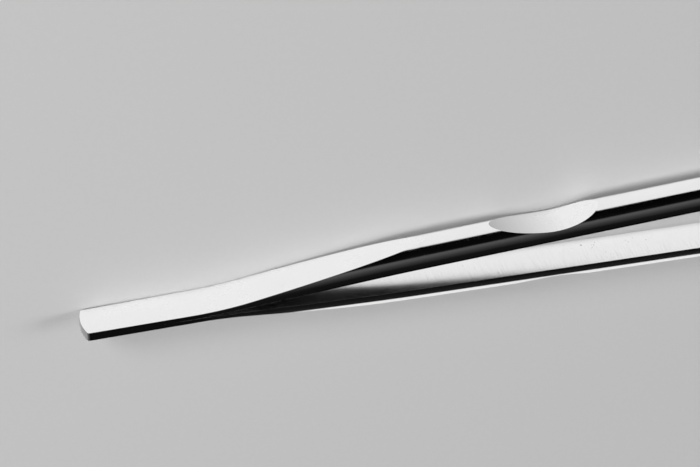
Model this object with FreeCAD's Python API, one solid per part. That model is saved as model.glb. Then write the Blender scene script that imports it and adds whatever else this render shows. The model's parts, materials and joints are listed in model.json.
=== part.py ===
"""Round-handled tweezers: two milled arms, welded flat to flat at the heel.

Each arm is a half-round bar. Its flat inner face follows a gently bent line
away from the weld, its outer side is milled down to a spring leaf at the heel,
its crown has a finger rest, and its front end tapers to a fine tip.

Millimetres. X runs from the heel to the tips, Y is the direction in which the
arms part, and Z is up. The tweezers lie on one side, on the long edges of the
handles. They are modelled with the heel's end at X = 0 and the surface at Z = 0,
and then centred on X.
"""
import FreeCAD
import Part
import math
import os

# Whole tool
overall_length = 180.0
handle_radius = 4.0             # the half-round handle, so it lies 8 mm high

# Inner face, from the weld to the tip
weld_length = 15.7              # the arms touch over this length
spring_bend_radius = 250.0      # the leaf bends out of the weld
spring_angle = 3.3              # degrees, where the leaf points furthest out
spring_end = 53.7               # the arm starts to straighten here
straighten_radius = 500.0
handle_angle = 2.1              # degrees, along the handle and the tip

# Outer side of the leaf
leaf_thickness = 0.88
leaf_length = 20.7              # the leaf is this thin from the heel to here
ramp_bend_radius = 80.0         # the flat then curves up into a straight ramp
ramp_angle = 7.9                # degrees, to the weld plane

# Heel, seen square to the leaf
heel_width = 7.3
heel_taper_length = 24.7        # the leaf reaches the handle's full width here
heel_end_radius = 10.0          # the bulge of the end
heel_corner_radius = 0.5

# Finger rest, a shallow cut across the crown
rest_position = 90.2            # its lowest point
rest_height = 1.97              # what is left over the inner face there
rest_front_radius = 20.8
rest_rear_radius = 60.0
rest_turn = 5.7                 # degrees behind the lowest point, where the radii meet

# Tip
tip_length = 57.0
tip_blend_radius = 90.0         # the handle runs into the taper on this radius
tip_radius = 0.6                # a half-round nose

axis_height = handle_radius     # the handles rest on their edges
taper_start = overall_length - tip_length
tool_margin = handle_radius / 2    # how far a cutting tool runs past the arm

ORIGIN = FreeCAD.Vector(0, 0, 0)
X_AXIS = FreeCAD.Vector(1, 0, 0)
Y_AXIS = FreeCAD.Vector(0, 1, 0)
Z_AXIS = FreeCAD.Vector(0, 0, 1)


class Trace:
    """A run of tangent lines and arcs in a plane at one height."""

    def __init__(self, x, y, z=0.0, heading=0.0):
        self.place = FreeCAD.Vector(x, y, z)
        self.heading = heading
        self.edges = []

    def _ahead(self, heading):
        turn = math.radians(heading)
        return FreeCAD.Vector(math.cos(turn), math.sin(turn), 0)

    def run(self, length):
        end = self.place + self._ahead(self.heading) * length
        self.edges.append(Part.LineSegment(self.place, end).toShape())
        self.place = end

    def run_to(self, x):
        self.run((x - self.place.x) / math.cos(math.radians(self.heading)))

    def bend(self, radius, turn):
        """Turn left by turn degrees, or right where turn is negative."""
        side = math.copysign(1.0, turn)
        centre = self.place + self._ahead(self.heading + 90 * side) * radius
        middle = centre - self._ahead(self.heading + turn / 2 + 90 * side) * radius
        end = centre - self._ahead(self.heading + turn + 90 * side) * radius
        self.edges.append(Part.Arc(self.place, middle, end).toShape())
        self.place = end
        self.heading += turn

    def line_to(self, x, y):
        end = FreeCAD.Vector(x, y, self.place.z)
        self.edges.append(Part.LineSegment(self.place, end).toShape())
        self.place = end

    def wire(self):
        return Part.Wire(self.edges)

    def prism(self, height):
        """The solid over the closed outline, from its own height up."""
        start = self.edges[0].Vertexes[0].Point
        if (self.place - start).Length > 1e-6:
            self.line_to(start.x, start.y)
        return Part.Face(self.wire()).extrude(Z_AXIS * height)


def inner_line(end):
    """The middle line of an arm's inner face, from the heel to X = end."""
    line = Trace(0, 0, axis_height)
    line.run(weld_length)
    line.bend(spring_bend_radius, spring_angle)
    line.run_to(spring_end)
    line.bend(straighten_radius, handle_angle - spring_angle)
    line.run_to(end)
    return line


def half_round_bar():
    """The bar before milling: a half disc swept along the inner face."""
    radius = handle_radius
    low = FreeCAD.Vector(0, 0, axis_height - radius)
    crown = FreeCAD.Vector(0, radius, axis_height)
    high = FreeCAD.Vector(0, 0, axis_height + radius)
    half_disc = Part.Wire([Part.Arc(low, crown, high).toShape(),
                           Part.LineSegment(high, low).toShape()])
    return inner_line(taper_start).wire().makePipeShell([half_disc], True, False)


def tapered_tip():
    """Half a turned taper, tangent to the bar and rounded at its nose."""
    start = inner_line(taper_start)
    length = tip_length / math.cos(math.radians(start.heading))

    # The blend, the cone and the nose are tangent, so the cone is the common
    # tangent of two circles, and the nose's centre is on the axis.
    across = tip_blend_radius - handle_radius
    along = length - tip_radius
    shrink = tip_blend_radius - tip_radius
    apart = math.hypot(along, across)
    slope = math.degrees(math.atan2(along, across) - math.acos(shrink / apart))

    outline = Trace(0, handle_radius)
    outline.bend(tip_blend_radius, -slope)
    outline.run(math.sqrt(apart ** 2 - shrink ** 2))
    outline.bend(tip_radius, slope - 90)
    outline.line_to(0, 0)
    outline.line_to(0, handle_radius)
    half_section = Part.Face(outline.wire())
    half_section.rotate(ORIGIN, X_AXIS, -90)
    tip = half_section.revolve(ORIGIN, X_AXIS, 180)
    tip.rotate(ORIGIN, Z_AXIS, start.heading)
    tip.translate(start.place)
    return tip


def above_leaf():
    """What is milled off over the leaf and its ramp."""
    cut = Trace(-tool_margin, leaf_thickness)
    cut.run_to(leaf_length)
    cut.bend(ramp_bend_radius, ramp_angle)
    crown = inner_line(taper_start).place.y + handle_radius + tool_margin
    rise = crown - cut.place.y
    cut.run(rise / math.sin(math.radians(ramp_angle)))
    cut.line_to(-tool_margin, cut.place.y)
    return cut.prism(2 * handle_radius)


def finger_rest():
    """The cutter for the rest: two tangent arcs, straight across the arm."""
    foot = inner_line(rest_position)
    turn = math.radians(rest_turn)
    top = handle_radius + tool_margin
    join_x = -rest_front_radius * math.sin(turn)
    join_y = rest_height + rest_front_radius * (1 - math.cos(turn))
    rear_x = join_x + rest_rear_radius * math.sin(turn)
    rear_y = join_y + rest_rear_radius * math.cos(turn)
    rear_turn = math.degrees(math.acos((rear_y - top) / rest_rear_radius))
    front_y = rest_height + rest_front_radius
    front_turn = math.degrees(math.acos((front_y - top) / rest_front_radius))

    rear_end = math.radians(rear_turn)
    cut = Trace(rear_x - rest_rear_radius * math.sin(rear_end), top, 0, -rear_turn)
    cut.bend(rest_rear_radius, rear_turn - rest_turn)
    cut.bend(rest_front_radius, rest_turn + front_turn)
    cutter = cut.prism(2 * handle_radius)
    cutter.rotate(ORIGIN, Z_AXIS, foot.heading)
    cutter.translate(FreeCAD.Vector(foot.place.x, foot.place.y, 0))
    return cutter


def heel_outline(depth):
    """The arm's outline seen square to the leaf, as a solid of that depth."""
    half = heel_width / 2
    sagitta = heel_end_radius - math.sqrt(heel_end_radius ** 2 - half ** 2)
    flare = (handle_radius - half) / (heel_taper_length - sagitta)
    beyond = overall_length + tool_margin
    widest = handle_radius + tool_margin
    # past the taper the outline is clear of the bar
    clear_x = min(beyond, heel_taper_length + tool_margin / flare) if flare > 0 else beyond

    def at(x, side):
        return FreeCAD.Vector(x, 0, axis_height + side)

    end = Part.Arc(at(sagitta, -half), at(0, 0), at(sagitta, half)).toShape()
    path = [at(sagitta, half), at(clear_x, widest), at(beyond, widest),
            at(beyond, -widest), at(clear_x, -widest), at(sagitta, -half)]
    sides = [Part.LineSegment(a, b).toShape() for a, b in zip(path, path[1:])
             if a.distanceToPoint(b) > 0]
    block = Part.Face(Part.Wire([end] + sides)).extrude(Y_AXIS * depth)
    corners = [edge for edge in block.Edges if abs(edge.CenterOfMass.x - sagitta) < 1e-6]
    return block.makeFillet(heel_corner_radius, corners)


def left_arm():
    bar = half_round_bar().fuse(tapered_tip()).removeSplitter()
    milled = bar.cut(above_leaf()).cut(finger_rest())
    depth = inner_line(overall_length).place.y + handle_radius + tool_margin
    arm = milled.common(heel_outline(depth)).removeSplitter()
    arm.translate(X_AXIS * (-overall_length / 2))
    return arm


def export(name, shape):
    solid = shape.Solids[0]
    if len(shape.Solids) != 1 or not solid.isValid():
        raise ValueError(name + " is not one valid solid")
    solid.exportStep("parts/" + name + ".step")
    box = solid.BoundBox
    print(name, "volume", round(solid.Volume, 2), "box",
          [round(v, 3) for v in (box.XMin, box.YMin, box.ZMin, box.XMax, box.YMax, box.ZMax)])


def main():
    os.makedirs("parts", exist_ok=True)
    left = left_arm()
    right = left.mirror(ORIGIN, Y_AXIS)
    export("left_arm", left)
    export("right_arm", right)


main()
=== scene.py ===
"""Round-handled tweezers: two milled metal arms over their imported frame, in a plain studio."""
import json
import math

import bmesh
import bpy
from mathutils import Matrix, Vector

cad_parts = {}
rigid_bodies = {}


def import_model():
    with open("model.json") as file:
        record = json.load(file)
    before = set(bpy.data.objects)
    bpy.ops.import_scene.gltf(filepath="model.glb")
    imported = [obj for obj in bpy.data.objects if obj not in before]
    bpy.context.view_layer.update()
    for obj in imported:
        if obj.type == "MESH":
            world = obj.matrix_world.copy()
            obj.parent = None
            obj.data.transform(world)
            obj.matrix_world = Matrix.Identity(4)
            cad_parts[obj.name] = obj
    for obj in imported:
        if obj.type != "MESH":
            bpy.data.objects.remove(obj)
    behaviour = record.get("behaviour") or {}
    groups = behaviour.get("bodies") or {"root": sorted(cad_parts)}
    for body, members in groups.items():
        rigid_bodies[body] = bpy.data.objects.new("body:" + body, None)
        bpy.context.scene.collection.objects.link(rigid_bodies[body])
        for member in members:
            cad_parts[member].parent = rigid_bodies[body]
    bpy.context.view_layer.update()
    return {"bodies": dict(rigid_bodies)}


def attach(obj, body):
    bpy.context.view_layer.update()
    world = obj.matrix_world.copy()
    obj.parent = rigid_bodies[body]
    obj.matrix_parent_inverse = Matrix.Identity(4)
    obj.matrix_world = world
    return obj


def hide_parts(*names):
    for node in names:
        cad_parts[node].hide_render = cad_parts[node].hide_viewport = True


bl_info = {
    "name": "Round-handled Tweezers",
    "version": (1, 0, 0),
    "blender": (4, 5, 0),
    "location": "3D View > Sidebar > Tweezers",
    "description": "Builds the arms of a pair of tweezers, their finish and a plain studio",
    "category": "Object",
}

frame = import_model()
BODY = next(iter(frame["bodies"]))

# The net of faces on an arm: rows go up the side, columns across the width, rings along it.
CORNER_ROWS = 3
SIDE_ROWS = 26
ROWS = SIDE_ROWS + 2 * CORNER_ROWS
SIDE_MARGIN = 0.008             # share of the side that its first and its last row take
CORNER_START = 0.86             # share of the half width where the heel's corner starts
HALF_COLUMNS = (0.215, 0.43, 0.645, CORNER_START, 0.88, 0.91, 0.94, 0.97, 0.994, 1.0)
COLUMNS = [-share for share in reversed(HALF_COLUMNS)] + [0.0] + list(HALF_COLUMNS)
CUBE_FACE = 0.9999              # a face further out than this lies on a side of the cube
HEEL_RINGS = 6
HEEL_BLEND_END = 0.003          # here the rings have turned from the heel's bulge to straight
NOSE_RINGS = 9
NOSE_TURN = math.radians(86)    # where the last ring lies on the nose, just short of its point

# Spacing of the rings along an arm
WELD_PITCH = 0.002
LEAF_PITCH = 0.001
CURVE_PITCH = 0.0006            # on the ramp's bend and on the taper's blend
REST_PITCH = 0.00045
BAR_PITCH = 0.003
RAMP_STRAIGHT = 0.032           # the ramp's bend is over here
RING_GAP = 0.0000025            # of two rings closer than this, one is left out

# Rings where a cut runs out through the crown, closer together the nearer they are to it
RUN_OUT_RINGS = 17
RUN_OUT_STEP = 0.000003         # from the run-out to the first ring on the cut
RUN_OUT_CLEAR = 0.00002         # from the run-out to the ring on the uncut side
RAMP_OUT_WITHIN = (0.05, 0.075)     # the ramp runs out between these distances
REST_REACH = (0.02, 0.015)      # the rest ends within this of its lowest point, behind and ahead

# Rounds of working out
HALVINGS = 50                   # for a run-out
LINE_ROUNDS = 4                 # for a place on the bent line
CORNER_ROUNDS = 6               # for the middle of the heel's corner

# Rounding of the edges
CROWN_STRIP = 0.00004           # half width of the strip that runs along an uncut crown
CROWN_STRIP_SHARE = 0.05        # and the most that it may be of the radius, at the tip
EDGE_SHARE = 0.15               # the same for the rounding of the edges
FLUSH = 0.000002                # an edge that is ground flush keeps only this rounding
SEAM_FADE = 0.004               # the inner edges get their rounding over this length past the weld

# The finishes of an arm, in the order of its materials
ROUND, OUTER, INNER, HEEL_END, REST = range(5)


# Settings

class ArmSettings(bpy.types.PropertyGroup):
    """Sizes of one arm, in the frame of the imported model."""

    overall_length: bpy.props.FloatProperty(
        name="Overall Length", description="From the heel to the tips", default=0.18, unit="LENGTH")
    handle_radius: bpy.props.FloatProperty(
        name="Handle Radius", description="Radius of the half-round handle",
        default=0.004, unit="LENGTH")
    weld_length: bpy.props.FloatProperty(
        name="Weld Length", description="The arms touch over this length",
        default=0.0157, unit="LENGTH")
    spring_bend_radius: bpy.props.FloatProperty(
        name="Spring Bend Radius", description="Bend of the leaf out of the weld",
        default=0.25, unit="LENGTH")
    spring_angle: bpy.props.FloatProperty(
        name="Spring Angle", description="Where the leaf points furthest out",
        default=math.radians(3.3), subtype="ANGLE")
    spring_end: bpy.props.FloatProperty(
        name="Spring End", description="The arm starts to straighten here",
        default=0.0537, unit="LENGTH")
    straighten_radius: bpy.props.FloatProperty(
        name="Straighten Radius", description="Bend back to the handle's line",
        default=0.5, unit="LENGTH")
    handle_angle: bpy.props.FloatProperty(
        name="Handle Angle", description="Angle of the handle to the weld",
        default=math.radians(2.1), subtype="ANGLE")
    leaf_thickness: bpy.props.FloatProperty(
        name="Leaf Thickness", description="Thickness of the spring leaf",
        default=0.00088, unit="LENGTH")
    leaf_length: bpy.props.FloatProperty(
        name="Leaf Length", description="Where the outer flat starts to rise",
        default=0.0207, unit="LENGTH")
    ramp_bend_radius: bpy.props.FloatProperty(
        name="Ramp Bend Radius", description="Bend of the outer flat into its ramp",
        default=0.08, unit="LENGTH")
    ramp_angle: bpy.props.FloatProperty(
        name="Ramp Angle", description="Rise of the ramp over the weld plane",
        default=math.radians(7.9), subtype="ANGLE")
    heel_width: bpy.props.FloatProperty(
        name="Heel Width", description="Width of the leaf at the heel",
        default=0.0073, unit="LENGTH")
    heel_taper_length: bpy.props.FloatProperty(
        name="Heel Taper Length", description="The leaf has the handle's width here",
        default=0.0247, unit="LENGTH")
    heel_end_radius: bpy.props.FloatProperty(
        name="Heel End Radius", description="Bulge of the heel's end", default=0.01, unit="LENGTH")
    heel_corner_radius: bpy.props.FloatProperty(
        name="Heel Corner Radius", description="Rounding of the heel's corners",
        default=0.0005, unit="LENGTH")
    rest_position: bpy.props.FloatProperty(
        name="Rest Position", description="Lowest point of the finger rest",
        default=0.0902, unit="LENGTH")
    rest_height: bpy.props.FloatProperty(
        name="Rest Height", description="Metal left over the inner face",
        default=0.00197, unit="LENGTH")
    rest_front_radius: bpy.props.FloatProperty(
        name="Rest Front Radius", description="Curve of the rest towards the tips",
        default=0.0208, unit="LENGTH")
    rest_rear_radius: bpy.props.FloatProperty(
        name="Rest Rear Radius", description="Curve of the rest towards the heel",
        default=0.06, unit="LENGTH")
    rest_turn: bpy.props.FloatProperty(
        name="Rest Turn", description="Where the two curves meet, behind the lowest point",
        default=math.radians(5.7), subtype="ANGLE")
    tip_length: bpy.props.FloatProperty(
        name="Tip Length", description="Length of the taper", default=0.057, unit="LENGTH")
    tip_blend_radius: bpy.props.FloatProperty(
        name="Tip Blend Radius", description="Curve of the handle into the taper",
        default=0.09, unit="LENGTH")
    tip_radius: bpy.props.FloatProperty(
        name="Tip Radius", description="Half-round nose", default=0.0006, unit="LENGTH")
    edge_break: bpy.props.FloatProperty(
        name="Edge Break", description="Rounding of every milled edge",
        default=0.00007, unit="LENGTH",
        precision=6)


class FinishSettings(bpy.types.PropertyGroup):
    """Colours and smoothness of the metal."""

    polished_color: bpy.props.FloatVectorProperty(
        name="Polished Colour", description="Metal of the rounds", subtype="COLOR", size=4,
        default=(0.9, 0.9, 0.9, 1.0), min=0.0, max=1.0)
    satin_color: bpy.props.FloatVectorProperty(
        name="Satin Colour", description="Metal of the milled flats", subtype="COLOR", size=4,
        default=(0.92, 0.92, 0.92, 1.0), min=0.0, max=1.0)
    # Painted shade: the heel's end gets this dark colour in place of a dark reflection, not because cut
    # metal is this dark.
    end_painted_shade_color: bpy.props.FloatVectorProperty(
        name="Heel End Colour", description="Metal of the heel's end, as it was cut",
        subtype="COLOR", size=4,
        default=(0.3, 0.3, 0.3, 1.0), min=0.0, max=1.0)
    polished_roughness: bpy.props.FloatProperty(
        name="Polished Roughness", description="Rounds", default=0.11, min=0.0, max=1.0)
    satin_roughness: bpy.props.FloatProperty(
        name="Satin Roughness", description="Milled flats outside", default=0.26, min=0.0, max=1.0)
    inner_roughness: bpy.props.FloatProperty(
        name="Inner Roughness", description="Flats between the arms",
        default=0.17, min=0.0, max=1.0)
    end_roughness: bpy.props.FloatProperty(
        name="Heel End Roughness", description="The heel's end", default=0.36, min=0.0, max=1.0)
    rest_roughness: bpy.props.FloatProperty(
        name="Rest Roughness", description="The finger rest", default=0.26, min=0.0, max=1.0)
    # Painted shade: the rest's colour is darkened towards its heel side, in place of a darker reflection
    # there.
    rest_painted_shade: bpy.props.FloatProperty(
        name="Rest Tone", description="Share of the satin colour that the rest has at its heel side",
        default=0.45, min=0.0, max=1.0)
    grain_length: bpy.props.FloatProperty(
        name="Grain Length", description="Length of the fine lines across a flat",
        default=0.004, unit="LENGTH")
    grain_pitch: bpy.props.FloatProperty(
        name="Grain Pitch", description="Spacing of the fine lines", default=0.00022, unit="LENGTH",
        precision=6)


class StudioSettings(bpy.types.PropertyGroup):
    """Floor, light and camera."""

    floor_color: bpy.props.FloatVectorProperty(
        name="Floor Colour", description="Plain pale floor", subtype="COLOR", size=4,
        default=(0.54, 0.54, 0.54, 1.0), min=0.0, max=1.0)
    backdrop_color: bpy.props.FloatVectorProperty(
        name="Backdrop Colour", description="What the floor adds to its own look in the camera and in metal",
        subtype="COLOR", size=4, default=(1.0, 1.0, 1.0, 1.0), min=0.0, max=1.0)
    floor_radius: bpy.props.FloatProperty(
        name="Floor Radius", description="The floor turns up into a low wall here",
        default=3.0, unit="LENGTH")
    wall_height: bpy.props.FloatProperty(
        name="Wall Height", description="Height of the low wall", default=0.2, unit="LENGTH")
    focal_length: bpy.props.FloatProperty(
        name="Focal Length", description="In millimetres, on a sensor 36 mm wide", default=170.33)
    camera_distance: bpy.props.FloatProperty(
        name="Camera Distance", description="From the aim", default=0.6156, unit="LENGTH")
    camera_aim: bpy.props.FloatVectorProperty(
        name="Camera Aim", description="The point in the middle of the picture",
        subtype="TRANSLATION",
        default=(-0.03729, 0.00564, -0.00224), unit="LENGTH", precision=5)
    camera_azimuth: bpy.props.FloatProperty(
        name="Azimuth", description="0 looks along +Y, 90 along -X", default=math.radians(198.97),
        subtype="ANGLE")
    camera_elevation: bpy.props.FloatProperty(
        name="Elevation", description="Above the horizon",
        default=math.radians(51.78), subtype="ANGLE")
    camera_roll: bpy.props.FloatProperty(
        name="Roll", description="About the line of sight",
        default=math.radians(154.99), subtype="ANGLE")


# The arm's shape

class ArmShape:
    """Works out where each point of an arm lies, from the arm's settings.

    A place on the arm is given by its distance along the middle line of the
    inner face, its width w across the arm, and its height h over that face.
    """

    def __init__(self, settings):
        self.set = settings
        self.runs = self._runs()
        self.taper_start = self.distance_at(settings.overall_length - settings.tip_length)
        self.taper_length = settings.tip_length / math.cos(settings.handle_angle)
        self._fit_taper()
        self._fit_heel()
        self._fit_rest()

    def _runs(self):
        """The inner face's line as runs of (length, curvature)."""
        s = self.set
        leaf_bend = s.spring_bend_radius * s.spring_angle
        bend_end = s.weld_length + s.spring_bend_radius * math.sin(s.spring_angle)
        leaf = (s.spring_end - bend_end) / math.cos(s.spring_angle)
        back_bend = s.straighten_radius * (s.spring_angle - s.handle_angle)
        return ((s.weld_length, 0.0), (leaf_bend, 1 / s.spring_bend_radius), (leaf, 0.0),
                (back_bend, -1 / s.straighten_radius), (s.overall_length, 0.0))

    def line(self, distance):
        """Point and heading of the inner face's middle line."""
        x = y = heading = 0.0
        for length, curvature in self.runs:
            step = min(length, distance)
            if curvature:
                turned = heading + step * curvature
                x += (math.sin(turned) - math.sin(heading)) / curvature
                y += (math.cos(heading) - math.cos(turned)) / curvature
                heading = turned
            else:
                x += step * math.cos(heading)
                y += step * math.sin(heading)
            distance -= step
            if distance <= 0:
                break
        return x, y, heading

    def distance_at(self, x):
        """How far along the line it reaches x."""
        distance = x
        for _ in range(LINE_ROUNDS):
            at, _y, heading = self.line(distance)
            distance += (x - at) / math.cos(heading)
        return distance

    def _fit_taper(self):
        """The cone is the common tangent of the blend and the nose."""
        s = self.set
        across = s.tip_blend_radius - s.handle_radius
        along = self.taper_length - s.tip_radius
        shrink = s.tip_blend_radius - s.tip_radius
        apart = math.hypot(along, across)
        self.cone_slope = math.atan2(along, across) - math.acos(shrink / apart)
        self.cone_start = s.tip_blend_radius * math.sin(self.cone_slope)
        self.nose_centre = self.taper_length - s.tip_radius
        self.nose_start = self.nose_centre + s.tip_radius * math.sin(self.cone_slope)

    def radius(self, distance):
        """Radius of the half-round at this place."""
        s = self.set
        u = distance - self.taper_start
        if u <= 0:
            return s.handle_radius
        if u <= self.cone_start:
            drop = s.tip_blend_radius - math.sqrt(s.tip_blend_radius ** 2 - u ** 2)
            return s.handle_radius - drop
        if u <= self.nose_start:
            slope = math.tan(self.cone_slope)
            end = s.tip_radius * math.cos(self.cone_slope)
            return end + (self.nose_start - u) * slope
        return math.sqrt(max(s.tip_radius ** 2 - (u - self.nose_centre) ** 2, 0.0))

    def _fit_heel(self):
        """The heel's end, seen square to the leaf, is an arc with two rounded corners."""
        s = self.set
        half = s.heel_width / 2
        self.heel_sagitta = s.heel_end_radius - math.sqrt(s.heel_end_radius ** 2 - half ** 2)
        taper = s.heel_taper_length - self.heel_sagitta
        self.heel_flare = math.atan((s.handle_radius - half) / taper)
        inner = s.heel_end_radius - s.heel_corner_radius
        corner_x = self.heel_sagitta
        for _ in range(CORNER_ROUNDS):
            corner_w = self.half_width(corner_x) - s.heel_corner_radius / math.cos(self.heel_flare)
            corner_x = s.heel_end_radius - math.sqrt(inner ** 2 - corner_w ** 2)
        self.corner = corner_x, corner_w
        self.corner_turn = math.asin(corner_w / inner)

    def half_width(self, x):
        """Half the width that the heel's taper leaves at x."""
        return self.set.heel_width / 2 + (x - self.heel_sagitta) * math.tan(self.heel_flare)

    def heel_end(self, share, inset):
        """(x, w) on the heel's end, for a share of the half width, inset from the outline."""
        s = self.set
        side = math.copysign(1.0, share)
        share = abs(share)
        if share <= CORNER_START:
            turn = self.corner_turn * share / CORNER_START
            radius = s.heel_end_radius - inset
            return s.heel_end_radius - radius * math.cos(turn), side * radius * math.sin(turn)
        part = (share - CORNER_START) / (1 - CORNER_START)
        turn = self.corner_turn + (math.pi / 2 - self.heel_flare - self.corner_turn) * part
        radius = s.heel_corner_radius - inset
        x, w = self.corner
        return x - radius * math.cos(turn), side * (w + radius * math.sin(turn))

    def _fit_rest(self):
        """Centres of the finger rest's two curves, along the handle from its lowest point."""
        s = self.set
        self.rest_foot = self.distance_at(s.rest_position)
        self.rest_join = -s.rest_front_radius * math.sin(s.rest_turn)
        join_h = s.rest_height + s.rest_front_radius * (1 - math.cos(s.rest_turn))
        self.rest_rear = (self.rest_join + s.rest_rear_radius * math.sin(s.rest_turn),
                          join_h + s.rest_rear_radius * math.cos(s.rest_turn))

    def rest_cut(self, distance):
        """Height left by the finger rest."""
        s = self.set
        u = distance - self.rest_foot
        if u >= self.rest_join:
            centre, top, radius = 0.0, s.rest_height + s.rest_front_radius, s.rest_front_radius
        else:
            centre, top = self.rest_rear
            radius = s.rest_rear_radius
        if abs(u - centre) >= radius:
            return top
        return top - math.sqrt(radius ** 2 - (u - centre) ** 2)

    def leaf_cut(self, distance):
        """Height left by the outer flat and its ramp, square to the inner face."""
        x, y, heading = self.line(distance)
        height = 0.0
        for _ in range(LINE_ROUNDS):
            at = x - height * math.sin(heading)
            height = (self._flat(at) - y) / math.cos(heading)
        return height

    def _flat(self, x):
        """How far the outer flat lies from the weld plane at x."""
        s = self.set
        u = x - s.leaf_length
        bend = s.ramp_bend_radius * math.sin(s.ramp_angle)
        if u <= 0:
            return s.leaf_thickness
        if u <= bend:
            rise = s.ramp_bend_radius - math.sqrt(s.ramp_bend_radius ** 2 - u ** 2)
            return s.leaf_thickness + rise
        rise = s.ramp_bend_radius * (1 - math.cos(s.ramp_angle))
        return s.leaf_thickness + rise + (u - bend) * math.tan(s.ramp_angle)

    def cut(self, distance):
        """Height left by whichever cut goes deeper."""
        return min(self.leaf_cut(distance), self.rest_cut(distance))

    def seam_rounding(self, distance, rounding):
        """Rounding of the inner face's edges, which fades out where the arms are welded."""
        opened = (distance - self.set.weld_length) / SEAM_FADE
        return FLUSH + (rounding - FLUSH) * min(max(opened, 0.0), 1.0)

    def crown(self, radius):
        """(edge rounding, height of the strip along an uncut crown) for a bar of that radius."""
        rounding = min(self.set.edge_break, EDGE_SHARE * radius)
        strip = min(CROWN_STRIP, CROWN_STRIP_SHARE * radius)
        return rounding, rounding + math.sqrt((radius - rounding) ** 2 - strip ** 2)

    def milled(self, distance):
        """True where a flat is milled across the crown."""
        return self.cut(distance) < self.crown(self.radius(distance))[1]

    def top(self, distance):
        """The finish on top: the outer flat's, the finger rest's or the uncut crown's."""
        if not self.milled(distance):
            return ROUND
        return REST if self.rest_cut(distance) < self.leaf_cut(distance) else OUTER

    def section(self, distance):
        """Points (w, h) of one side, from the inner face up to the top."""
        radius = self.radius(distance)
        rounding, crown = self.crown(radius)
        height = min(self.cut(distance), crown)
        wall = self.half_width(self.line(distance)[0])
        walled = wall < radius
        within = radius - rounding

        low = self.seam_rounding(distance, rounding)
        low_w = math.sqrt((radius - low) ** 2 - low ** 2)
        low_turn = math.atan2(low, low_w)
        top_w = math.sqrt(within ** 2 - (height - rounding) ** 2)
        top_turn = math.atan2(height - rounding, top_w)
        wall_top = 0.0
        if walled:
            wall_top = math.sqrt(radius ** 2 - wall ** 2)
            low_w, low_turn = wall - low, 0.0
            if top_w > wall - rounding:
                top_w, top_turn = wall - rounding, 0.0

        points = []
        for row in range(CORNER_ROWS + 1):
            turn = -math.pi / 2 + (low_turn + math.pi / 2) * row / CORNER_ROWS
            points.append((low_w + low * math.cos(turn), low * (1 + math.sin(turn))))

        if walled:
            wall_end = wall_top if top_turn else height - rounding
            straight = max(wall_end - low, 0.0)
            turn_start = math.atan2(wall_top, wall)
        else:
            straight = 0.0
            turn_start = low_turn
        around = radius * max(top_turn - turn_start, 0.0) if top_turn else 0.0
        for row in range(1, SIDE_ROWS):
            share = min(max((row - 1) / (SIDE_ROWS - 2), SIDE_MARGIN), 1 - SIDE_MARGIN)
            along = share * (straight + around)
            if along <= straight:
                points.append((wall, low + along))
            else:
                turn = turn_start + (along - straight) / radius
                points.append((radius * math.cos(turn), radius * math.sin(turn)))

        for row in range(CORNER_ROWS + 1):
            turn = top_turn + (math.pi / 2 - top_turn) * row / CORNER_ROWS
            points.append((top_w + rounding * math.cos(turn),
                           height - rounding + rounding * math.sin(turn)))
        return points

    def crossings(self):
        """Where the ramp and the rest's two ends run out through the crown."""
        behind, ahead = REST_REACH
        found = []
        for low, high in (RAMP_OUT_WITHIN, (self.rest_foot - behind, self.rest_foot),
                          (self.rest_foot, self.rest_foot + ahead)):
            start = self.milled(low)
            for _ in range(HALVINGS):
                middle = (low + high) / 2
                if self.milled(middle) == start:
                    low = middle
                else:
                    high = middle
            found.append((low + high) / 2)
        return found

    def stations(self):
        """Distances of the rings of points, closer together where the shape turns."""
        s = self.set
        ramp_out, rest_in, rest_out = self.crossings()
        starts = [(HEEL_BLEND_END, WELD_PITCH), (s.weld_length, LEAF_PITCH), (s.leaf_length, CURVE_PITCH),
                  (RAMP_STRAIGHT, LEAF_PITCH), (ramp_out, LEAF_PITCH), (rest_in, REST_PITCH),
                  (rest_out, BAR_PITCH), (self.taper_start, CURVE_PITCH),
                  (self.taper_start + self.cone_start, BAR_PITCH)]
        ends = [start for start, _pitch in starts[1:]] + [self.taper_start + self.nose_start]
        places = set()
        for (start, pitch), end in zip(starts, ends):
            count = max(1, round((end - start) / pitch))
            places.update(start + (end - start) * i / count for i in range(count + 1))

        for place, side in ((ramp_out, -1), (rest_in, 1), (rest_out, -1)):
            for i in range(1, RUN_OUT_RINGS + 1):
                places.add(place + side * RUN_OUT_STEP * i ** 2)
            places.add(place - side * RUN_OUT_CLEAR)

        for i in range(1, NOSE_RINGS + 1):
            turn = self.cone_slope + (NOSE_TURN - self.cone_slope) * i / NOSE_RINGS
            places.add(self.taper_start + self.nose_centre + s.tip_radius * math.sin(turn))

        ordered = sorted(places)
        kept = [ordered[0]]
        for place in ordered[1:]:
            if place - kept[-1] > RING_GAP:
                kept.append(place)
        return kept


def place_on_arm(shape, ring, sections, distances, column, row):
    """The point, in the frame's metres, of one place in the arm's net."""
    s = shape.set
    share = COLUMNS[column]
    index = max(ring - HEEL_RINGS, 0)
    w, h = sections[index][row]
    x, y, heading = shape.line(distances[index])
    w *= share
    if ring < HEEL_RINGS:
        outer = shape.half_width(distances[0])
        end_x, end_w = shape.heel_end(share, outer - sections[0][row][0])
        part = ring / HEEL_RINGS
        x = end_x + (x - end_x) * part
        w = end_w + (w - end_w) * part
    return Vector((x - h * math.sin(heading) - s.overall_length / 2,
                   y + h * math.cos(heading),
                   s.handle_radius + w))


# Materials

# Painted shade on the finger rest: its colour darkens from ahead of its lowest point to behind it, in place
# of a darker reflection there: (behind, ahead)
REST_PAINTED_SHADE = (0.0145, 0.002)

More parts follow.
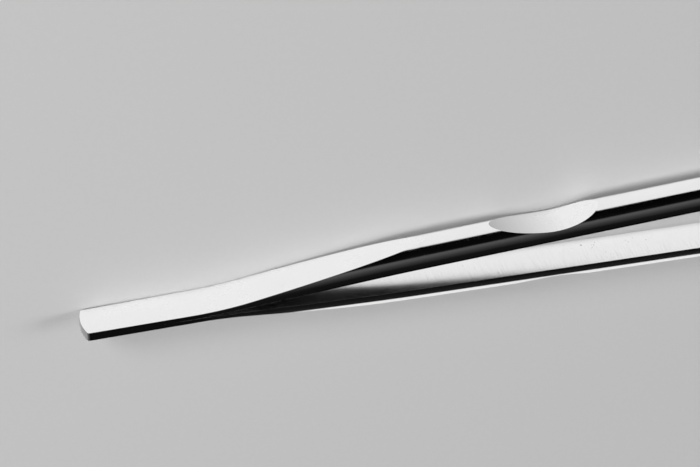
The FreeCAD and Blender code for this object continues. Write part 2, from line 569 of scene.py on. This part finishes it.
# Scales of the metal's marks, in features per metre along X, Y and Z
HAZE = (90, 400, 400)
DRAW_LINES = (160, 9000, 9000)
CLOUD = (120, 200, 200)
PATCH = (160, 160, 160)
SPECK = (1500, 1500, 1500)
FLOOR_GRAIN = (900, 900, 900)
NOISE_RANGE = (0.3, 0.7)        # noise hardly leaves these values
LINE_RANGE = (0.45, 0.75)       # only the noise's stronger part shows as lines
SPECK_RANGE = (0.68, 0.74)      # the same for specks, and for the patches that have them
PATCH_RANGE = (0.57, 0.65)
LINED_HEIGHTS = (0.001, 0.008)  # the lines get stronger between these heights
DRAW_LINE_DEPTH = 0.0000004

# How far the marks change the roughness, and the lowest tone that they leave
HAZE_ROUGHNESS = (0.85, 1.2)
CLOUD_ROUGHNESS = (0.9, 1.1)
HAZE_TONE = 0.97
CLOUD_TONE = 0.975
FLOOR_TONE = 0.985
FLOOR_ROUGHNESS = 0.9

# The floor's own glow, as a share for each kind of ray
GLOW_SHARES = (("Is Camera Ray", 0.08), ("Is Glossy Ray", 0.82), ("Is Transmission Ray", 0.82))
CONTACT_DISTANCE = 0.0025       # metal nearer than this to the floor covers some of its sky
CONTACT_SAMPLES = 6
CONTACT_RANGE = (0.42, 0.58)    # shares of open sky at which the glow starts and is whole


def new_material(name):
    """A node material, with its node tree and its shader."""
    material = bpy.data.materials.new(name)
    material.use_nodes = True
    tree = material.node_tree
    return material, tree, tree.nodes["Principled BSDF"]


def noise(tree, scale, detail=3.0, roughness=0.5):
    """Noise on Object coordinates, with its own scale along each axis, per metre."""
    place = tree.nodes.new("ShaderNodeTexCoord")
    mapping = tree.nodes.new("ShaderNodeMapping")
    mapping.inputs["Scale"].default_value = scale
    texture = tree.nodes.new("ShaderNodeTexNoise")
    texture.inputs["Scale"].default_value = 1.0
    texture.inputs["Detail"].default_value = detail
    texture.inputs["Roughness"].default_value = roughness
    tree.links.new(place.outputs["Object"], mapping.inputs["Vector"])
    tree.links.new(mapping.outputs["Vector"], texture.inputs["Vector"])
    return texture.outputs["Fac"]


def remap(tree, value, low, high, span=NOISE_RANGE):
    """A value that goes from low to high while the given one crosses the span."""
    node = tree.nodes.new("ShaderNodeMapRange")
    node.inputs["From Min"].default_value = span[0]
    node.inputs["From Max"].default_value = span[1]
    node.inputs["To Min"].default_value = low
    node.inputs["To Max"].default_value = high
    tree.links.new(value, node.inputs["Value"])
    return node.outputs["Result"]


def combine(tree, operation, first, second):
    """Two values joined by a Math node; second may be a plain number."""
    node = tree.nodes.new("ShaderNodeMath")
    node.operation = operation
    tree.links.new(first, node.inputs[0])
    if isinstance(second, float):
        node.inputs[1].default_value = second
    else:
        tree.links.new(second, node.inputs[1])
    return node.outputs[0]


def axes(tree, coordinates):
    """The X, Y and Z of a kind of coordinates."""
    place = tree.nodes.new("ShaderNodeTexCoord")
    parts = tree.nodes.new("ShaderNodeSeparateXYZ")
    tree.links.new(place.outputs[coordinates], parts.inputs["Vector"])
    return parts.outputs


def tint(tree, value, first, second):
    """A colour between first and second, by a value from 0 to 1.

    First may be a node's output.
    """
    node = tree.nodes.new("ShaderNodeMix")
    node.data_type = "RGBA"
    if isinstance(first, list):
        node.inputs["A"].default_value = first
    else:
        tree.links.new(first, node.inputs["A"])
    node.inputs["B"].default_value = second
    tree.links.new(value, node.inputs["Factor"])
    return node.outputs["Result"]


def darken(tree, color, share):
    """A node's colour times a share of it."""
    node = tree.nodes.new("ShaderNodeMix")
    node.data_type = "RGBA"
    node.blend_type = "MULTIPLY"
    node.inputs["Factor"].default_value = 1.0
    tree.links.new(color, node.inputs["A"])
    tree.links.new(share, node.inputs["B"])
    return node.outputs["Result"]


def bump(tree, value, depth):
    """A surface that rises by depth where the value goes from 0 to 1."""
    node = tree.nodes.new("ShaderNodeBump")
    node.inputs["Strength"].default_value = 1.0
    node.inputs["Distance"].default_value = depth
    tree.links.new(value, node.inputs["Height"])
    return node.outputs["Normal"]


def shade(color, factor):
    """A plain colour made darker or lighter."""
    return [min(channel * factor, 1.0) for channel in color[:3]] + [1.0]


def vary(tree, value, level, shares):
    """A level that a pattern moves between two shares of it."""
    return remap(tree, value, level * shares[0], level * shares[1])


def mottle(tree, value, color, low):
    """The colour, which goes down to a share of it where the value is low."""
    return tint(tree, remap(tree, value, 0, 1), shade(color, low), shade(color, 1.0))


def polished_metal(finish):
    """Polished rounds: nearly a mirror, with faint draw lines and a little haze."""
    material, tree, shader = new_material("polished_metal")
    haze = noise(tree, HAZE, detail=2.0)
    lines = noise(tree, DRAW_LINES)
    tree.links.new(vary(tree, haze, finish.polished_roughness, HAZE_ROUGHNESS),
                   shader.inputs["Roughness"])
    tree.links.new(mottle(tree, haze, finish.polished_color, HAZE_TONE), shader.inputs["Base Color"])
    tree.links.new(bump(tree, lines, DRAW_LINE_DEPTH), shader.inputs["Normal"])
    shader.inputs["Metallic"].default_value = 1.0
    return material


def satin_metal(name, finish, color, rough, depth, line_tone, speck_tone, painted_shade=None):
    """Milled flats: fine lines across the arm, a faint cloud in the tone, and a few specks.

    Each tone is the share of the colour that is left where the mark is strongest,
    and depth is that of the lines. The last argument, (low, high, tone), is painted
    shade: the colour falls to that tone, from high along the arm back to low, in
    place of a darker reflection.
    """
    material, tree, shader = new_material(name)
    pitch = 1 / finish.grain_pitch
    length = 1 / finish.grain_length
    grain = noise(tree, (pitch, length, length), detail=4.0, roughness=0.6)
    cloud = noise(tree, CLOUD)
    patch = noise(tree, PATCH, detail=2.0)
    speck = noise(tree, SPECK, detail=1.0)
    place = axes(tree, "Object")
    tree.links.new(vary(tree, cloud, rough, CLOUD_ROUGHNESS), shader.inputs["Roughness"])

    lines = combine(tree, "MULTIPLY", remap(tree, grain, 0, 1, LINE_RANGE),
                    remap(tree, place["Z"], 0, 1, LINED_HEIGHTS))
    specks = combine(tree, "MULTIPLY", remap(tree, speck, 0, 1, SPECK_RANGE),
                     remap(tree, patch, 0, 1, PATCH_RANGE))
    lined = tint(tree, lines, mottle(tree, cloud, color, CLOUD_TONE), shade(color, line_tone))
    marked = tint(tree, specks, lined, shade(color, speck_tone))
    # Painted shade: towards the rest's heel side the colour is darkened, in place of a darker reflection
    # there.
    if painted_shade is not None:
        low, high, tone = painted_shade
        marked = darken(tree, marked, remap(tree, place["X"], tone, 1, (low, high)))
    tree.links.new(marked, shader.inputs["Base Color"])
    tree.links.new(bump(tree, grain, depth), shader.inputs["Normal"])
    shader.inputs["Metallic"].default_value = 1.0
    return material


def floor_material(color, backdrop):
    """A plain pale floor that keeps the object's shadow, with a glow of its own on top."""
    material, tree, shader = new_material("pale_floor")
    grain = noise(tree, FLOOR_GRAIN, detail=2.0)
    tree.links.new(mottle(tree, grain, color, FLOOR_TONE), shader.inputs["Base Color"])
    shader.inputs["Roughness"].default_value = FLOOR_ROUGHNESS
    shader.inputs["Specular IOR Level"].default_value = 0.0

    path = tree.nodes.new("ShaderNodeLightPath")
    camera, glossy, through = [combine(tree, "MULTIPLY", path.outputs[ray], share)
                               for ray, share in GLOW_SHARES]
    glow = combine(tree, "MAXIMUM", combine(tree, "MAXIMUM", camera, glossy), through)

    # Close under a round the floor adds nothing, so the metal shows its shadow there.
    open_sky = tree.nodes.new("ShaderNodeAmbientOcclusion")
    open_sky.samples = CONTACT_SAMPLES
    open_sky.inputs["Distance"].default_value = CONTACT_DISTANCE
    glow = combine(tree, "MULTIPLY", glow, remap(tree, open_sky.outputs["AO"], 0, 1, CONTACT_RANGE))

    # Painted shade: for rays that have already bounced off one arm, the floor's glow turns black, so that
    # the deep gap between the arms shows dark in the metal.
    painted_gap_shade = remap(tree, path.outputs["Glossy Depth"], 0, 1, (1, 2))
    glow = combine(tree, "MAXIMUM", glow, painted_gap_shade)
    plain = tree.nodes.new("ShaderNodeEmission")
    tree.links.new(tint(tree, painted_gap_shade, backdrop, [0.0, 0.0, 0.0, 1.0]), plain.inputs["Color"])
    mixed = tree.nodes.new("ShaderNodeMixShader")
    tree.links.new(glow, mixed.inputs[0])
    tree.links.new(shader.outputs[0], mixed.inputs[1])
    tree.links.new(plain.outputs[0], mixed.inputs[2])
    tree.links.new(mixed.outputs[0], tree.nodes["Material Output"].inputs["Surface"])
    return material


# Arms

def place_in_scene(name, data):
    """A new object in the scene, at the origin."""
    holder = bpy.data.objects.new(name, data)
    bpy.context.scene.collection.objects.link(holder)
    return holder


def build_arm(name, node, shape, materials, side):
    """One arm as a net of faces over a cube, each corner moved to its place on the arm."""
    distances = shape.stations()
    sections = [shape.section(distance) for distance in distances]
    rings = HEEL_RINGS + len(distances) - 1
    columns = len(COLUMNS) - 1

    net = bmesh.new()
    bmesh.ops.create_cube(net, size=2.0)
    for axis, parts in enumerate((rings, ROWS, columns)):
        along = [edge for edge in net.edges
                 if abs(edge.verts[0].co[axis] - edge.verts[1].co[axis]) > 1.0]
        bmesh.ops.subdivide_edges(net, edges=along, cuts=parts - 1, use_grid_fill=True)

    tops = [shape.top(distance) for distance in distances]
    for face in net.faces:
        middle = face.calc_center_median()
        face.smooth = True
        face.material_index = ROUND
        if middle.x < -CUBE_FACE:
            face.material_index = HEEL_END
        elif middle.y < -CUBE_FACE:
            face.material_index = INNER
        elif middle.y > CUBE_FACE:
            ring = int((middle.x + 1) / 2 * rings) - HEEL_RINGS
            if tops[max(ring, 0)] == tops[max(ring + 1, 0)]:
                face.material_index = tops[max(ring, 0)]

    for vert in net.verts:
        ring = round((vert.co.x + 1) / 2 * rings)
        row = round((vert.co.y + 1) / 2 * ROWS)
        column = round((vert.co.z + 1) / 2 * columns)
        vert.co = place_on_arm(shape, ring, sections, distances, column, row)
    if side < 0:
        bmesh.ops.scale(net, vec=(1, -1, 1), verts=net.verts)
    bmesh.ops.recalc_face_normals(net, faces=net.faces)

    mesh = bpy.data.meshes.new(name)
    net.to_mesh(mesh)
    net.free()
    for material in materials:
        mesh.materials.append(material)
    arm = place_in_scene(name, mesh)
    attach(arm, BODY)
    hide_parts(node)


class TWEEZERS_OT_arms(bpy.types.Operator):
    """Builds the two arms and their finish"""

    bl_idname = "tweezers.arms"
    bl_label = "Arms"

    def execute(self, context):
        shape = ArmShape(context.scene.tweezers_arm)
        finish = context.scene.tweezers_finish
        lowest = shape.line(shape.rest_foot)[0] - shape.set.overall_length / 2
        # Painted shade on the finger rest, darker towards its heel side.
        behind, ahead = REST_PAINTED_SHADE
        painted_shade = lowest - behind, lowest + ahead, finish.rest_painted_shade
        materials = [
            polished_metal(finish),
            satin_metal("satin_outer", finish, finish.satin_color, finish.satin_roughness,
                        depth=0.0000001, line_tone=0.97, speck_tone=0.9),
            satin_metal("satin_inner", finish, finish.satin_color, finish.inner_roughness,
                        depth=0.0000002, line_tone=0.86, speck_tone=0.5),
            # The heel's end: painted shade, a dark colour in place of its dark reflection.
            satin_metal("heel_end_painted_shade", finish, finish.end_painted_shade_color, finish.end_roughness,
                        depth=0.0000004, line_tone=0.8, speck_tone=0.8),
            satin_metal("satin_rest", finish, finish.satin_color, finish.rest_roughness,
                        depth=0.0000001, line_tone=0.94, speck_tone=0.9, painted_shade=painted_shade)]
        build_arm("left_arm_metal", "left_arm", shape, materials, 1)
        build_arm("right_arm_metal", "right_arm", shape, materials, -1)
        return {"FINISHED"}


# Studio

# The floor's outline
FLOOR_MIDDLE = 0.5              # the first ring of faces
FLOOR_CURVE = 0.3               # radius of the turn up into the wall
FLOOR_CURVE_STEPS = 8
FLOOR_CURVE_TURN = math.radians(80)
FLOOR_SIDES = 96
MERGE_DISTANCE = 0.00001

# Lamps: name, direction from the tool, width, length and watts
LAMP_DISTANCE = 1.8
LAMPS = (("heel_lamp", (-0.75, 0.10, 0.66), 0.5, 0.8, 20.0),
         ("tip_lamp", (0.78, 0.10, 0.62), 0.5, 0.8, 12.0),
         ("side_lamp", (-0.62, 0.62, 0.48), 0.6, 0.5, 16.0),
         ("back_lamp", (-0.5, -0.76, 0.42), 0.7, 0.7, 1.0))

# Brightness of the surroundings, by degrees about the X axis from level on the left arm's side
SKY = ((0, 0.001), (50, 0.001), (57, 0.095), (78, 0.035), (95, 0.006), (130, 0.004), (180, 0.02))

SENSOR_WIDTH = 36.0
CLIP_START = 0.01
CLIP_END = 20.0


def soft_lamp(name, direction, width, length, power):
    """A lamp that faces the middle of the floor; its width is level."""
    lamp = bpy.data.lights.new(name, "AREA")
    lamp.shape = "RECTANGLE"
    lamp.size = width
    lamp.size_y = length
    lamp.energy = power
    holder = place_in_scene(name, lamp)
    away = Vector(direction).normalized()
    holder.location = away * LAMP_DISTANCE
    level = Vector((0, 0, 1)).cross(away).normalized()
    holder.rotation_euler = Matrix((level, away.cross(level), away)).transposed().to_euler()


def build_floor(studio):
    """A round floor that turns up into a low wall, as one sheet."""
    profile = bmesh.new()
    flat_end = studio.floor_radius - FLOOR_CURVE
    points = [(0, 0, 0), (FLOOR_MIDDLE, 0, 0), (flat_end, 0, 0)]
    for step in range(1, FLOOR_CURVE_STEPS + 1):
        turn = FLOOR_CURVE_TURN * step / FLOOR_CURVE_STEPS
        points.append((flat_end + FLOOR_CURVE * math.sin(turn), 0, FLOOR_CURVE * (1 - math.cos(turn))))
    points.append((studio.floor_radius, 0, studio.wall_height))
    verts = [profile.verts.new(point) for point in points]
    edges = [profile.edges.new(pair) for pair in zip(verts, verts[1:])]
    bmesh.ops.spin(profile, geom=verts + edges, cent=(0, 0, 0), axis=(0, 0, 1),
                   angle=math.tau, steps=FLOOR_SIDES, use_merge=True)
    bmesh.ops.remove_doubles(profile, verts=profile.verts, dist=MERGE_DISTANCE)
    bmesh.ops.recalc_face_normals(profile, faces=profile.faces)
    if sum(face.normal.z for face in profile.faces) < 0:
        bmesh.ops.reverse_faces(profile, faces=profile.faces)
    for face in profile.faces:
        face.smooth = True
    mesh = bpy.data.meshes.new("floor")
    profile.to_mesh(mesh)
    profile.free()
    mesh.materials.append(floor_material(list(studio.floor_color), list(studio.backdrop_color)))
    floor = place_in_scene("floor", mesh)


def build_world():
    """Dark surroundings with a weak grey glow overhead, turned about the X axis."""
    world = bpy.data.worlds.new("studio")
    bpy.context.scene.world = world
    world.use_nodes = True
    tree = world.node_tree
    background = tree.nodes["Background"]
    place = axes(tree, "Generated")
    turn = combine(tree, "ARCTAN2", place["Z"], place["Y"])
    ramp = tree.nodes.new("ShaderNodeValToRGB")
    tree.links.new(remap(tree, turn, 0, 1, (0.0, math.pi)), ramp.inputs["Fac"])
    tree.links.new(ramp.outputs["Color"], background.inputs["Color"])
    background.inputs["Strength"].default_value = 1.0
    elements = ramp.color_ramp.elements
    while len(elements) < len(SKY):
        elements.new(0.5)
    for element, (degrees, level) in zip(elements, SKY):
        element.position = degrees / 180
        element.color = (level, level, level, 1)


def build_camera(studio):
    """The camera, at the photograph's angle to the tweezers."""
    camera = bpy.data.cameras.new("camera")
    camera.sensor_width = SENSOR_WIDTH
    camera.lens = studio.focal_length
    camera.clip_start = CLIP_START
    camera.clip_end = CLIP_END
    holder = place_in_scene("camera", camera)
    turn, rise = studio.camera_azimuth, studio.camera_elevation
    back = Vector((math.sin(turn) * math.cos(rise), -math.cos(turn) * math.cos(rise), math.sin(rise)))
    level = Vector((math.cos(turn), math.sin(turn), 0))
    upright = Matrix((level, back.cross(level), back)).transposed()
    rolled = upright @ Matrix.Rotation(studio.camera_roll, 3, "Z")
    place = Vector(studio.camera_aim) + back * studio.camera_distance
    holder.matrix_world = Matrix.LocRotScale(place, rolled, None)
    bpy.context.scene.camera = holder


class TWEEZERS_OT_studio(bpy.types.Operator):
    """Builds the floor, the lamps, the surroundings and the camera"""

    bl_idname = "tweezers.studio"
    bl_label = "Studio"

    def execute(self, context):
        studio = context.scene.tweezers_studio
        build_floor(studio)
        build_world()
        for lamp in LAMPS:
            soft_lamp(*lamp)
        build_camera(studio)
        context.scene.view_settings.view_transform = "Standard"
        return {"FINISHED"}


class VIEW3D_PT_tweezers(bpy.types.Panel):
    """Lists what this file builds, with its settings"""

    bl_label = "Tweezers"
    bl_space_type = "VIEW_3D"
    bl_region_type = "UI"
    bl_category = "Tweezers"

    def draw(self, context):
        scene = context.scene
        for operator, group in ((TWEEZERS_OT_arms, scene.tweezers_arm),
                                (None, scene.tweezers_finish),
                                (TWEEZERS_OT_studio, scene.tweezers_studio)):
            box = self.layout.box()
            for key in group.bl_rna.properties.keys():
                if key not in ("rna_type", "name"):
                    box.prop(group, key)
            if operator is not None:
                box.operator(operator.bl_idname)


GROUPS = {"tweezers_arm": ArmSettings,
          "tweezers_finish": FinishSettings,
          "tweezers_studio": StudioSettings}
CLASSES = (*GROUPS.values(), TWEEZERS_OT_arms, TWEEZERS_OT_studio, VIEW3D_PT_tweezers)


def register():
    for cls in CLASSES:
        bpy.utils.register_class(cls)
    for name, group in GROUPS.items():
        setattr(bpy.types.Scene, name, bpy.props.PointerProperty(type=group))


def unregister():
    for name in GROUPS:
        delattr(bpy.types.Scene, name)
    for cls in reversed(CLASSES):
        bpy.utils.unregister_class(cls)


def main():
    """Builds everything."""
    register()
    bpy.ops.tweezers.arms()
    bpy.ops.tweezers.studio()


if __name__ == "__main__":
    main()
